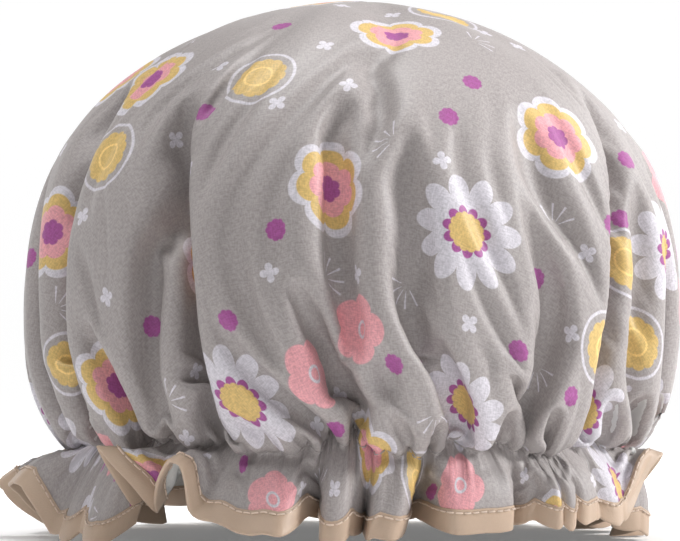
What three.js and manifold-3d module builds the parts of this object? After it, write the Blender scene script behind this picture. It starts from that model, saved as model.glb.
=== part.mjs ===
// Gathered two-layer shower cap, standing on its ruffled hem.
// A printed fabric disc and a waterproof film disc of the same cut lie on each other. A row of lockstitch
// gathers both onto an elastic ring, which leaves a puffed crown above it and a fluted ruffle below it,
// and a folded binding tape is stitched round the raw edges of the ruffle.
// Millimetres, +Z up. The front of the cap faces -Y, and the floor is z = 0.
import * as THREE from "three";
import { mergeVertices } from "three/addons/utils/BufferGeometryUtils.js";
import Module from "manifold-3d";

// Crown, measured to the outside of the fold ridges from the gather line
const CROWN_RADIUS = 139;
const CROWN_HEIGHT = 193;
const WIDEST_HEIGHT = 50;
const TOP_ROUNDNESS = 1.7; // exponents of the upper profile, for its radius and for its height: 2 and 2 are
const SIDE_FULLNESS = 2.8; // an ellipse, less makes the top more pointed and more makes the sides fuller
const TUCK_ANGLE = 60; // degrees that the lower profile turns in before it meets the elastic
const GATHER_RADIUS = 119;

// Folds of the crown
const GATHER_DEPTH = 4; // of each valley at the gather line
const VALLEY_WIDTH = 4; // of the floor of a valley
const SHOULDER = 9; // from the middle of a valley to where the ridge beside it starts

// Ruffle
const RUFFLE_LENGTH = 36; // of cloth, from the gather line to the raw edge
const STANDING_HEIGHT = 34.5; // of the gather line above the raw edge where that stands
const FLUTE_VALLEY = 0.18; // half a valley's floor and the start of the ridge beside it, as shares of the
const FLUTE_RIDGE = 0.3; // distance to the next valley

// Cloth and trims
const FABRIC_THICKNESS = 0.5;
const FILM_THICKNESS = 0.4;
const TAPE_THICKNESS = 0.5;
const BINDING_WIDTH = 10;
const FOLD_ROOM = 0.9; // inside the tape's fold, below the raw edges
const ELASTIC_WIDTH = 6;
const ELASTIC_THICKNESS = 1;
const ELASTIC_LAP = 16; // length over which the elastic's ends overlap
const THREAD_DIAMETER = 0.6;
const STITCH_INSET = 1.5; // from the binding's upper edge to its row of stitches
const TACK_COUNT = 5; // zigzag strokes of the tack through the elastic's lap
const CLEARANCE = 0.3; // between pieces that lie on each other
const FOOT_CUT = 0.5; // depth of the flats that the hem stands on

// Each fold starts at a valley that runs down the crown and on into the ruffle, and goes on to the ridge
// after it: [azimuth of the valley at the gather line, on the lower and on the upper crown, in degrees from
// the front and positive to the wearer's left (+X); its depth on the lower and on the upper crown; degrees
// from straight down that the ruffle's valley and ridge flare outwards; share of its length that the ridge
// reaches].
const FOLDS = [
  [-178, -179.5, -179, 16, 12, -11, 44, 1],
  [-162, -160.5, -160.5, 17, 9, -11, 44, 1],
  [-146, -146, -149, 21, 21, -22, 52, 1],
  [-130, -132.5, -135, 18, 9, -12, 44, 1],
  [-112, -111.5, -110.5, 13, 11, -16, 51, 1],
  [-95, -97.5, -96, 22, 15, 0, 67, 1],
  [-81, -81, -86, 15, 2, 10, 70, 1],
  [-64, -67.5, -75, 14, 8, 15, 22, 1],
  [-50, -54.5, -60, 20, 20, 16, 80, 0.68],
  [-42, -42.5, -39, 18, 10, -14, 42, 1],
  [-24, -28.5, -33, 22, 20, 38, 50, 1],
  [-6.5, -4, -4, 22, 18, -40, 16, 1],
  [2.5, 8, 7, 15, 12, -25, 16, 1],
  [14, 17.5, 18, 16, 2, -36, 36, 1],
  [33, 33, 32, 16, 9, -38, 42, 1],
  [52, 46.5, 51.5, 20, 15, -18, 15, 1],
  [60, 59, 58, 14, 10, 15, 66, 0.75],
  [70, 72.5, 74, 15, 2, -15, 22, 1],
  [87, 85, 85, 16, 8, -34, 26, 1],
  [102, 103.5, 106.5, 19, 15, -36, 28, 1],
  [118, 117, 118, 11, 8, -12, 44, 1],
  [133, 129.5, 129.5, 17, 11, -22, 52, 1],
  [150, 151.5, 150.5, 22, 19, -23, 50, 1],
  [166, 165.5, 165, 20, 11, -24, 48, 1],
];

// Mesh rows, from the top of the crown down: t is 0 at the top, 1 at the gather line and 2 at the raw edge,
// and density is the number of columns for each fold.
const FOLD_TOP = 0.44; // folds start here, and their table's values hold at the next two
const UPPER = 0.68;
const LOWER = 0.84;
const BINDING_TOP = 2 - BINDING_WIDTH / RUFFLE_LENGTH;
const ROWS = [
  { t: 0.12, density: 1 },
  { t: 0.32, density: 2 },
  { t: 0.52, density: 2 },
  { t: UPPER, density: 4 },
  { t: LOWER, density: 4 },
  { t: 1, density: 4 },
  { t: BINDING_TOP, density: 4 },
  { t: 2, density: 4 },
];
const GATHER_ROW = 5;
const BINDING_ROW = 6;
const HEM_ROW = 7;
const WIDEST_T = 0.78; // share of the crown's cloth that lies above its widest level
const SHARPEST_MITRE = 0.25; // limits how far a corner moves where cloth turns sharply

// Layers, as distances from the middle of the fabric: positive is outside the cap
const FABRIC_OUT = FABRIC_THICKNESS / 2;
const FABRIC_IN = -FABRIC_THICKNESS / 2;
const FILM_OUT = FABRIC_IN - CLEARANCE;
const FILM_IN = FILM_OUT - FILM_THICKNESS;
const TAPE_OUT = FABRIC_OUT + CLEARANCE;
const TAPE_IN = FILM_IN - CLEARANCE;
const THREAD_RADIUS = THREAD_DIAMETER / 2;

const COLOURS = {
  fabric: { color: 0xb3aaa8, roughness: 0.62, metalness: 0 },
  film: { color: 0xe9ecec, roughness: 0.35, metalness: 0 },
  tape: { color: 0xcbb294, roughness: 0.5, metalness: 0 },
  elastic: { color: 0xf0eee9, roughness: 0.85, metalness: 0 },
  greyThread: { color: 0x8f8786, roughness: 0.7, metalness: 0 },
  beigeThread: { color: 0xd9c5a8, roughness: 0.7, metalness: 0 },
};

const wasm = await Module();
wasm.setup();

// Folded cloth

// The value at t on straight lines through values at places, level beyond them.
function lineThrough(t, places, values) {
  const after = places.findIndex((place) => place >= t);
  if (after === -1) {
    return values[values.length - 1];
  }
  if (after === 0) {
    return values[0];
  }
  return THREE.MathUtils.mapLinear(t, places[after - 1], places[after], values[after - 1], values[after]);
}

function valleyAzimuth(index, t) {
  const [gather, lower, upper] = FOLDS[(index + FOLDS.length) % FOLDS.length];
  return lineThrough(t, [UPPER, LOWER, 1], [upper, lower, gather]);
}

// Height and radius of the crown's ridges at t, 0 at the top and 1 at the gather line.
function crownProfile(t) {
  if (t <= WIDEST_T) {
    const angle = (t / WIDEST_T) * (Math.PI / 2);
    const rise = Math.max(Math.cos(angle), 0) ** (2 / SIDE_FULLNESS);
    return {
      radius: CROWN_RADIUS * Math.sin(angle) ** (2 / TOP_ROUNDNESS),
      height: WIDEST_HEIGHT + (CROWN_HEIGHT - WIDEST_HEIGHT) * rise,
    };
  }
  const tuck = THREE.MathUtils.degToRad(TUCK_ANGLE);
  const angle = ((t - WIDEST_T) / (1 - WIDEST_T)) * tuck;
  const inward = (1 - Math.cos(angle)) / (1 - Math.cos(tuck));
  return {
    radius: CROWN_RADIUS - (CROWN_RADIUS - GATHER_RADIUS) * inward,
    height: WIDEST_HEIGHT * (1 - Math.sin(angle) / Math.sin(tuck)),
  };
}

// How deep a valley of the crown is at t.
function valleyDepth([, , , lower, upper], t) {
  return lineThrough(t, [FOLD_TOP, UPPER, LOWER, 1], [0, upper, lower, GATHER_DEPTH]);
}

// Azimuth in degrees of a fold's corner at t. Corners 0 and 1 are the two sides of its valley's floor, and
// 2 and 3 are the two sides of its ridge. Above the folds the corners are spread evenly.
function cornerAzimuth(index, corner, t) {
  const valley = valleyAzimuth(index, t);
  const before = THREE.MathUtils.euclideanModulo(valley - valleyAzimuth(index - 1, t), 360);
  const after = THREE.MathUtils.euclideanModulo(valleyAzimuth(index + 1, t) - valley, 360);
  if (t < UPPER) {
    return valley + (after * corner) / 4;
  }
  const { radius } = crownProfile(Math.min(t, 1));
  const share = (length, pitch, limit, ofFlute) => {
    const onCrown = Math.min(length / (radius * THREE.MathUtils.degToRad(pitch)), limit);
    return THREE.MathUtils.lerp(onCrown, ofFlute, Math.max(t - 1, 0)) * pitch;
  };
  switch (corner) {
    case 0:
      return valley - share(VALLEY_WIDTH / 2, before, 0.2, FLUTE_VALLEY);
    case 1:
      return valley + share(VALLEY_WIDTH / 2, after, 0.2, FLUTE_VALLEY);
    case 2:
      return valley + share(SHOULDER, after, 0.42, FLUTE_RIDGE);
    default:
      return valley + after - share(SHOULDER, after, 0.42, FLUTE_RIDGE);
  }
}

// The middle of the fabric at a fold's corner and at t. A flute that hangs down to the floor stands on it.
function clothPoint(index, corner, t) {
  const fold = FOLDS[index];
  const inValley = corner < 2;
  let { radius, height } = crownProfile(Math.min(t, 1));
  if (inValley) {
    radius -= valleyDepth(fold, Math.min(t, 1));
  }
  if (t > 1) {
    const [valleyFlare, ridgeFlare, ridgeReach] = fold.slice(5);
    const flare = THREE.MathUtils.degToRad(inValley ? valleyFlare : ridgeFlare);
    const length = RUFFLE_LENGTH * (inValley ? 1 : ridgeReach) * (t - 1);
    radius += length * Math.sin(flare);
    height = Math.max(height - length * Math.cos(flare), -STANDING_HEIGHT);
  }
  const azimuth = THREE.MathUtils.degToRad(cornerAzimuth(index, corner, t) - 90);
  return new THREE.Vector3(radius * Math.cos(azimuth), radius * Math.sin(azimuth), height);
}

// The whole cloth as rings of points, with the triangles between them, and at each point the direction and
// distance that it moves for each millimetre of offset, so that every triangle moves out by at least that.
function makeCloth() {
  const points = [new THREE.Vector3(0, 0, CROWN_HEIGHT)];
  const rings = [];
  for (const { t, density } of ROWS) {
    const ring = [];
    for (let column = 0; column < FOLDS.length * density; column += 1) {
      const index = Math.floor(column / density);
      const corner = (column % density) * (4 / density);
      ring.push(points.length);
      points.push(clothPoint(index, corner, t));
    }
    rings.push(ring);
  }
  const triangles = [];
  rings[0].forEach((corner, i) => triangles.push([0, corner, rings[0][(i + 1) % rings[0].length]]));
  for (let row = 1; row < rings.length; row += 1) {
    joinRings(triangles, rings[row - 1], rings[row]);
  }
  return { points, rings, triangles, offsets: offsetDirections(points, triangles) };
}

// Triangles between a ring and the ring below it, which has as many points or twice as many.
function joinRings(triangles, upper, lower) {
  const step = lower.length / upper.length;
  for (let i = 0; i < upper.length; i += 1) {
    const a = upper[i];
    const b = upper[(i + 1) % upper.length];
    const below = Array.from({ length: step + 1 }, (_, k) => lower[(i * step + k) % lower.length]);
    if (step === 1) {
      triangles.push([a, below[0], below[1]], [a, below[1], b]);
    } else {
      triangles.push([a, below[0], below[1]], [a, below[1], b], [b, below[1], below[2]]);
    }
  }
}

function triangleNormal(points, [a, b, c]) {
  const side = new THREE.Vector3().subVectors(points[b], points[a]);
  const other = new THREE.Vector3().subVectors(points[c], points[a]);
  return side.cross(other).normalize();
}

function offsetDirections(points, triangles) {
  const touching = points.map(() => []);
  for (const corners of triangles) {
    const normal = triangleNormal(points, corners);
    corners.forEach((corner) => touching[corner].push(normal));
  }
  return touching.map((normals) => {
    const direction = normals.reduce((sum, n) => sum.add(n), new THREE.Vector3()).normalize();
    for (let pull = 0.5; pull > 0.01; pull *= 0.85) {
      const furthest = normals.reduce((a, b) => (a.dot(direction) < b.dot(direction) ? a : b));
      direction.addScaledVector(furthest, pull).normalize();
    }
    const least = Math.min(...normals.map((n) => n.dot(direction)));
    return direction.divideScalar(Math.max(least, SHARPEST_MITRE));
  });
}

const cloth = makeCloth();

function offsetPoint(index, distance) {
  return cloth.points[index].clone().addScaledVector(cloth.offsets[index], distance);
}

// A point of the stretch of ruffle that the binding covers, at a column of the hem and an offset from the
// fabric: share 0 is the binding's upper edge, 1 is the raw edge, and past is a length beyond that.
function hemPoint(column, share, distance, past = 0) {
  const top = cloth.rings[BINDING_ROW][column];
  const edge = cloth.rings[HEM_ROW][column];
  const down = new THREE.Vector3().subVectors(cloth.points[edge], cloth.points[top]).normalize();
  const onCloth = offsetPoint(top, distance).lerp(offsetPoint(edge, distance), share);
  return onCloth.addScaledVector(down, past);
}

// Geometry helpers

function geometryOf(points, triangles) {
  const geometry = new THREE.BufferGeometry().setFromPoints(points);
  geometry.setIndex(triangles.flat());
  return geometry;
}

// A closed sheet of cloth between two distances from the middle of the fabric, open at the hem's mouth.
function sheetGeometry(outside, inside) {
  const count = cloth.points.length;
  const points = [
    ...cloth.points.map((_, i) => offsetPoint(i, outside)),
    ...cloth.points.map((_, i) => offsetPoint(i, inside)),
  ];
  const triangles = cloth.triangles.flatMap(([a, b, c]) => [
    [a, b, c],
    [a + count, c + count, b + count],
  ]);
  const hem = cloth.rings[HEM_ROW];
  hem.forEach((a, i) => {
    const b = hem[(i + 1) % hem.length];
    triangles.push([a, a + count, b], [b, a + count, b + count]);
  });
  return geometryOf(points, triangles);
}

// A solid swept through a list of matching section outlines, closed on itself or capped at its two ends.
// Outlines run anticlockwise for a viewer whom the sweep comes towards. The sides listed in forward are
// split from their first corner here to their second corner in the next section, and the rest the other way.
// With the diagonals that the cloth beside them has, layers keep their distance.
function sweptGeometry(sections, closed, forward) {
  const size = sections[0].length;
  const triangles = [];
  const spans = closed ? sections.length : sections.length - 1;
  for (let i = 0; i < spans; i += 1) {
    const here = i * size;
    const there = ((i + 1) % sections.length) * size;
    for (let k = 0; k < size; k += 1) {
      const l = (k + 1) % size;
      if (forward.includes(k)) {
        triangles.push([here + k, here + l, there + l], [here + k, there + l, there + k]);
      } else {
        triangles.push([here + k, here + l, there + k], [there + k, here + l, there + l]);
      }
    }
  }
  if (!closed) {
    const last = (sections.length - 1) * size;
    for (let k = 1; k + 1 < size; k += 1) {
      triangles.push([0, k + 1, k], [last, last + k, last + k + 1]);
    }
  }
  return geometryOf(sections.flat(), triangles);
}

// A thread's four-sided section at a point, from two directions across it.
function threadSection(centre, outward, sideways) {
  const reach = [outward, sideways, outward.clone().negate(), sideways.clone().negate()];
  return reach.map((way) => centre.clone().addScaledVector(way.clone().normalize(), THREAD_RADIUS));
}

function solidOf(geometry) {
  const bare = new THREE.BufferGeometry().setAttribute("position", geometry.getAttribute("position"));
  bare.setIndex(geometry.index);
  const merged = mergeVertices(bare);
  return new wasm.Manifold(
    new wasm.Mesh({
      numProp: 3,
      vertProperties: merged.getAttribute("position").array,
      triVerts: new Uint32Array(merged.index.array),
    }),
  );
}

function geometryFrom(solid) {
  const { vertProperties, triVerts } = solid.getMesh();
  const geometry = new THREE.BufferGeometry();
  geometry.setAttribute("position", new THREE.BufferAttribute(vertProperties, 3));
  geometry.setIndex(new THREE.BufferAttribute(triVerts, 1));
  return geometry;
}

// Sub-parts

// The tape's folded section goes down outside the ruffle, under its raw edge and up the inside.
function bindingGeometry() {
  const under = FOLD_ROOM + TAPE_THICKNESS + FOOT_CUT;
  const sections = cloth.rings[HEM_ROW].map((_, column) => [
    hemPoint(column, 0, TAPE_OUT + TAPE_THICKNESS),
    hemPoint(column, 1, TAPE_OUT + TAPE_THICKNESS, under),
    hemPoint(column, 1, TAPE_IN - TAPE_THICKNESS, under),
    hemPoint(column, 0, TAPE_IN - TAPE_THICKNESS),
    hemPoint(column, 0, TAPE_IN),
    hemPoint(column, 1, TAPE_IN, FOLD_ROOM),
    hemPoint(column, 1, TAPE_OUT, FOLD_ROOM),
    hemPoint(column, 0, TAPE_OUT),
  ]);
  return sweptGeometry(sections, true, [0, 4, 5]);
}

// A row of thread along the binding, on its outer or its inner face.
function bindingThreadGeometry(distance) {
  const share = STITCH_INSET / BINDING_WIDTH;
  const sections = cloth.rings[HEM_ROW].map((_, column) => {
    const centre = hemPoint(column, share, distance);
    const outward = hemPoint(column, share, distance + 1).sub(centre);
    const down = hemPoint(column, 1, distance).sub(centre);
    return threadSection(centre, outward, down);
  });
  return sweptGeometry(sections, true, [0, 3]);
}

// The needle thread of the gathering row lies in the groove where the crown meets the ruffle.
function gatherNeedleThreadGeometry() {
  const sections = cloth.rings[GATHER_ROW].map((index) => {
    const centre = offsetPoint(index, FABRIC_OUT + CLEARANCE + THREAD_RADIUS);
    const outward = cloth.offsets[index];
    return threadSection(centre, outward, new THREE.Vector3(0, 0, -1));
  });
  return sweptGeometry(sections, true, [0, 3]);
}

// How far in the film comes beside the elastic, whose lower edge the valleys of the ruffle hang under.
const filmReach = Math.min(
  ...cloth.rings[GATHER_ROW].map((index, column) => {
    const onSeam = offsetPoint(index, FILM_IN);
    const onRuffle = hemPoint(column, 0, FILM_IN);
    const below = onSeam.clone().lerp(onRuffle, (onSeam.z + ELASTIC_WIDTH / 2) / (onSeam.z - onRuffle.z));
    return Math.min(Math.hypot(onSeam.x, onSeam.y), Math.hypot(below.x, below.y));
  }),
);
const ELASTIC_STEPS = 60;
const elasticOuterRadius = (filmReach - CLEARANCE) * Math.cos(Math.PI / ELASTIC_STEPS);
const elasticInnerRadius = elasticOuterRadius - ELASTIC_THICKNESS;
const lapAngle = ELASTIC_LAP / elasticInnerRadius;
const lapStep = ELASTIC_THICKNESS + CLEARANCE;
const tackRadius = elasticInnerRadius - lapStep - CLEARANCE - THREAD_RADIUS;
const BACK = Math.PI / 2; // the lap is at the back of the head, +Y

function ringPoint(angle, radius, height) {
  return new THREE.Vector3(radius * Math.cos(angle), radius * Math.sin(angle), height);
}

// One flat band whose end steps inwards and laps over its start.
function elasticGeometry() {
  const sections = [];
  for (let step = 0; step <= ELASTIC_STEPS; step += 1) {
    const share = step / ELASTIC_STEPS;
    const angle = BACK - lapAngle / 2 + share * (Math.PI * 2 + lapAngle);
    const stepIn = lapStep * THREE.MathUtils.smoothstep(share, 0.8, 0.9);
    const outer = elasticOuterRadius - stepIn;
    const inner = outer - ELASTIC_THICKNESS;
    sections.push([
      ringPoint(angle, outer, -ELASTIC_WIDTH / 2),
      ringPoint(angle, inner, -ELASTIC_WIDTH / 2),
      ringPoint(angle, inner, ELASTIC_WIDTH / 2),
      ringPoint(angle, outer, ELASTIC_WIDTH / 2),
    ]);
  }
  return sweptGeometry(sections, false, [3]);
}

// The bobbin thread of the gathering row runs along the inner face of the elastic, over the tack.
function gatherBobbinThreadGeometry() {
  const sections = [];
  const radius = tackRadius - THREAD_DIAMETER - CLEARANCE;
  for (let step = 0; step < ELASTIC_STEPS; step += 1) {
    const angle = (step / ELASTIC_STEPS) * Math.PI * 2;
    const outward = ringPoint(angle, 1, 0);
    sections.push(threadSection(ringPoint(angle, radius, 0), outward, new THREE.Vector3(0, 0, -1)));
  }
  return sweptGeometry(sections, true, [0, 3]);
}

// A zigzag of thread over the lap holds the elastic's ends together.
function elasticTackGeometry() {
  const swing = ELASTIC_WIDTH / 2 - THREAD_DIAMETER;
  const sections = [];
  for (let corner = 0; corner <= TACK_COUNT; corner += 1) {
    const angle = BACK + lapAngle * 0.8 * (corner / TACK_COUNT - 0.5);
    const centre = ringPoint(angle, tackRadius, corner % 2 ? swing : -swing);
    sections.push(threadSection(centre, ringPoint(angle, 1, 0), new THREE.Vector3(0, 0, -1)));
  }
  return sweptGeometry(sections, false, [0, 3]);
}

const pieces = new THREE.Group();

function addPiece(name, geometry, look) {
  const mesh = new THREE.Mesh(geometry, new THREE.MeshStandardMaterial(COLOURS[look]));
  mesh.name = name;
  pieces.add(mesh);
}

// The floor cuts the hem flat where it stands.
const tape = solidOf(bindingGeometry());
const floorHeight = tape.boundingBox().min[2] + FOOT_CUT;
const reach = 4 * CROWN_RADIUS;
const below = solidOf(new THREE.BoxGeometry(reach, reach, reach).translate(0, 0, floorHeight - reach / 2));

addPiece("printed_outer_fabric", sheetGeometry(FABRIC_OUT, FABRIC_IN), "fabric");
addPiece("waterproof_liner", sheetGeometry(FILM_OUT, FILM_IN), "film");
addPiece("hem_binding", geometryFrom(tape.subtract(below)), "tape");
addPiece("elastic_band", elasticGeometry(), "elastic");
addPiece("elastic_tack_thread", elasticTackGeometry(), "elastic");
addPiece("gather_needle_thread", gatherNeedleThreadGeometry(), "greyThread");
addPiece("gather_bobbin_thread", gatherBobbinThreadGeometry(), "greyThread");
addPiece(
  "binding_needle_thread",
  bindingThreadGeometry(TAPE_OUT + TAPE_THICKNESS + CLEARANCE + THREAD_RADIUS),
  "beigeThread",
);
addPiece(
  "binding_bobbin_thread",
  bindingThreadGeometry(TAPE_IN - TAPE_THICKNESS - CLEARANCE - THREAD_RADIUS),
  "beigeThread",
);

// Stand the cap on z = 0 with the middle of its box on the Z axis.
const middle = new THREE.Box3().setFromObject(pieces).getCenter(new THREE.Vector3());
pieces.position.set(-middle.x, -middle.y, -floorHeight);

const cap = new THREE.Group();
cap.add(pieces);
export default cap;
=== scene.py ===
"""Gathered shower cap: printed satin, film liner, bound ruffle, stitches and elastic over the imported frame."""
import math

import bpy
import numpy as np
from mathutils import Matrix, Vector


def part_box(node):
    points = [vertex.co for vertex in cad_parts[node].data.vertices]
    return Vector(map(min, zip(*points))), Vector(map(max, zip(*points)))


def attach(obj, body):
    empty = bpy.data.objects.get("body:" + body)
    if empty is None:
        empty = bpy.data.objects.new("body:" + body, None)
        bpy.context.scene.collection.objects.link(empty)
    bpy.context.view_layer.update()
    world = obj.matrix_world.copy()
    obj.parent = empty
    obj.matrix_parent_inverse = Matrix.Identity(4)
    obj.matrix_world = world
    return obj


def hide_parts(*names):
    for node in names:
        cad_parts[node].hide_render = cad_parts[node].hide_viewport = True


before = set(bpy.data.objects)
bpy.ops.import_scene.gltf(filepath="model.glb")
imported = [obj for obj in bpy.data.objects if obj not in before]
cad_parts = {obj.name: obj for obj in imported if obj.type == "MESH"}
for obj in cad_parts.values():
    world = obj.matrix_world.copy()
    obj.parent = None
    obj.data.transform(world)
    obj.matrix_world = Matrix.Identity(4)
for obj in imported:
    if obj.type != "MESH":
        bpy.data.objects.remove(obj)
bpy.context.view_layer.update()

bl_info = {
    "name": "Gathered Shower Cap",
    "version": (1, 0, 0),
    "blender": (4, 5, 0),
    "location": "View3D > Sidebar > Cap",
    "description": "Builds a gathered two-layer shower cap on its packed frame",
    "category": "Object",
}


# ------------------------------------------------------------------------------------------------ values

MM = 0.001
TAU = 2 * math.pi
COLUMNS = 760  # of the cloth grid, round the cap
ELASTIC_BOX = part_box("elastic_band")
RING = np.array([(a + b) / 2 for a, b in zip(*ELASTIC_BOX)])  # middle of the gather ring

# The cloth, in mm where nothing else is said.
WIDEST = 0.78  # share of the crown's line above its widest place
TUCK = math.radians(60)  # turn of the arc below that place
FOLD_GAIN = 1.5  # folds are laid this much deeper, because the cloth settles out of them
LIP = 0.42  # how far a fold's steep flank laps over its valley, as a share of its depth
FOLD_END = 7.0  # how soon the crown's folds end below the seam
GROOVE_DEPTH, GROOVE_WIDTH = 3.2, 3.0  # of the groove that the gather stitches pull in
PUFF = 0.2  # how much of the ruffle's spare length makes it puff out, as a share
SWAY_RADIUS = 130.0  # radius at which a flute's way to the right becomes an angle
TOP_RADIUS = 20.0  # folds don't get narrower than they are at this radius
ELASTIC_ROOM = 112.5  # radius inside which the elastic lies
TAPE_ROOM = 1.2  # room for the tape between the cloth and the floor
STITCH_INSET = 1.5  # from the tape's edge to its stitches
TAPE_FACES = (0.5, -0.9)  # how far the tape's two faces stand off the drape

# Each fold of the crown: width of its left and right flank in mm, then its knots down the cap as
# (place from 0 at the crown's top to 1 at the gather, azimuth in degrees, depth in mm).
FRONT_FOLDS = (
    (16, 4, ((0.439, -61.5, 0), (0.543, -57.7, 8), (0.696, -57, 14), (0.79, -54.7, 12), (0.9, -52.1, 8),
             (1, -52, 4))),
    (3.5, 9, ((0.543, -35.6, 0), (0.642, -35.5, 8), (0.729, -38.3, 10), (0.79, -38.6, 9), (0.9, -38.1, 6),
              (1, -37, 4))),
    (14, 4, ((0.502, -34.2, 0), (0.584, -32.2, 9), (0.66, -29.9, 14), (0.744, -27, 16), (0.8, -25.9, 14),
             (0.9, -24.6, 9), (1, -23, 4))),
    (5, 4.5, ((0.79, -50, 0), (0.86, -45.8, 9.5), (0.93, -43, 9.5), (1, -41, 4))),
    (7, 7, ((0.593, -78, 0), (0.729, -72.7, 8), (0.85, -68.5, 9), (1, -66, 4))),
    (5, 5, ((0.765, -85.1, 0), (0.88, -79.6, 8), (1, -78, 4))),
    (4, 4, ((0.82, -61.6, 0), (0.9, -60.1, 6), (1, -59, 4))),
    (2.8, 13, ((0.48, -5.8, 0), (0.56, -5.3, 4.5), (0.65, -4.6, 7), (0.758, -4.6, 9), (0.82, -4.8, 9.5), (0.92, -6, 7),
               (1, -6, 4))),
    (7, 4, ((0.38, 5, 0), (0.461, 5.6, 4), (0.543, 5.6, 4), (0.623, 5, 2), (0.696, 5, 0))),
    (15, 4.5, ((0.56, 8, 0), (0.64, 10.5, 5), (0.72, 12, 7), (0.79, 10.5, 8), (0.85, 7, 8), (0.92, 4, 7),
               (1, 2.5, 4))),
    (5, 5, ((0.79, 19.6, 0), (0.86, 18.8, 7), (0.94, 19, 8), (1, 19, 4))),
    (5, 9, ((0.752, 35.8, 0), (0.78, 35.4, 5), (0.84, 32.7, 8), (0.92, 29, 8), (1, 27, 4))),
    (4, 9, ((0.461, 59.4, 0), (0.543, 56.2, 6), (0.623, 53.7, 10), (0.721, 49.6, 14), (0.776, 47.2, 14),
            (0.84, 44.7, 11), (0.92, 44.4, 8), (1, 44, 4))),
    (9, 9, ((0.623, 59, 0), (0.729, 60, 7), (0.8, 57.3, 8), (0.9, 55.9, 7), (1, 56, 4))),
    (7, 6, ((0.729, 70.9, 0), (0.82, 72, 8), (0.92, 70.9, 7), (1, 70, 4))),
    (8, 6, ((0.642, 85, 0), (0.765, 87, 9), (0.9, 85, 8), (1, 84, 4))),
    (9, 9, ((0.111, 12, 0), (0.222, 11.8, 2.5), (0.31, 11.6, 3), (0.397, 8.1, 2), (0.461, 6.5, 0))),
    (9, 9, ((0.523, 33.5, 0), (0.603, 33.9, 3.5), (0.696, 33.7, 3.5), (0.758, 33, 0))),
)

# Each flute of the ruffle: azimuth of its left valley at the gather in degrees; where the hem lies at that valley
# and at the flute's ridge, as mm out from the gather, mm below it and mm to the right; and the flute's front, from
# 1 for a pointed one to 3 for a flat one.
FLUTES = (
    (-95, -3, 34, 0, 31, 12, -4, 1.5),
    (-81, 3, 34, 0, 26, 11, -4, 1.5),
    (-65, 16, 31, 0, 13, 32, 0, 1.5),
    (-43, 5, 31, -5, 25, -3, -15, 1.0),
    (-33, 0, 22, -16, 23, -2, 0, 1.2),
    (-23, 16, 18, -9, 20, 27, 2, 1.3),
    (-6.5, -12, 22, 0, 10, 30, -3, 1.5),
    (2.5, -18, 24, 0, 9, 29, -7, 1.5),
    (13, -26, 26, 0, 10, 27, 0, 2.2),
    (32, -8, 25, 0, 10, 25, 2, 1.8),
    (52, 6, 22, -2, 11, 27, 0, 1.3),
    (60, 10, 22, -2, 14, -2, 10, 1.1),
    (72, -5, 30, 0, 6, 33, 0, 1.5),
    (87, -12, 32, 0, 6, 33, 0, 1.5),
    (102, -14, 32, 0, 8, 33, 2, 1.5),
    (118, -8, 34, 0, 23, 27, -3, 1.5),
    (133, -14, 32, 0, 21, 29, 0, 1.5),
    (150, -12, 33, 0, 27, 24, 4, 1.5),
    (166, -14, 32, 0, 20, 30, -2, 1.5),
    (182, -9, 34, 0, 25, 26, 3, 1.5),
    (198, -12, 33, 0, 22, 28, -3, 1.5),
    (214, -14, 32, 0, 26, 25, 2, 1.5),
    (230, -9, 34, 0, 21, 29, 4, 1.5),
    (248, -12, 33, 0, 25, 26, -2, 1.5),
)

# Pleats of the gather, from fine to coarse: number round the cap, wander of their pitch, mm from the seam where
# they grow and where they have faded, and their share of the pleat depth.
PLEATS = ((103, 2.2, 0.0, 9.0, 1.3), (53, 1.8, 6.0, 20.0, 2.4), (27, 1.4, 14.0, 40.0, 2.8))

# How closely the cloth is drawn together along the gather: azimuth in degrees, strength of the pleats.
GATHERED = (
    (-180, 0.8), (-100, 1.0), (-60, 0.8), (-50, 1.15), (-39, 1.15), (-35, 0.3), (-12, 0.3), (-6, 1.15), (3, 1.15),
    (7, 0.5), (11, 1.0), (16, 1.0), (20, 0.35), (32, 0.35), (36, 1.15), (41, 1.15), (44, 0.4), (51, 0.4),
    (55, 1.15), (60, 0.9), (100, 1.0), (180, 0.8),
)

# Each light: its power's name among the stage's values, diameter in metres, place, and the place it faces.
CAP_MIDDLE = (0, 0, 0.12)
LIGHTS = (
    ("key", 0.5, (1.6, -0.25, 0.9), CAP_MIDDLE),
    ("rim", 0.8, (1.3, 0.9, 1.1), CAP_MIDDLE),
    ("top", 0.6, (0, 0, 2.0), CAP_MIDDLE),
    ("front", 0.8, (0.3, -0.9, 1.8), CAP_MIDDLE),
    ("fill", 0.6, (-1.0, -0.55, 1.5), CAP_MIDDLE),
    ("backdrop", 1.6, (0, 0.2, 2.6), (0, 1.4, 0.3)),
)
FLOOR_RADIUS, FLOOR_BEND, WALL_HEIGHT = 3.4, 0.6, 1.8  # of the round stage, in metres

PICTURE = (680, 541)  # width and height in pixels
AXIS_COLUMN, EYE_ROW = 352, 392  # pixels at which the cap's axis and the camera's eye level lie
PICTURE_SCALE = 2.33  # pixels per mm at the cap's axis
SENSOR = 36.0  # width of the camera's sensor in mm


def number(name, text, default, unit="LENGTH"):
    """A number that the panel shows."""
    return bpy.props.FloatProperty(name=name, description=text, default=default, unit=unit)


def paint(name, text, *default):
    """A colour that the panel shows."""
    return bpy.props.FloatVectorProperty(name=name, description=text, default=default, subtype="COLOR")


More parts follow.
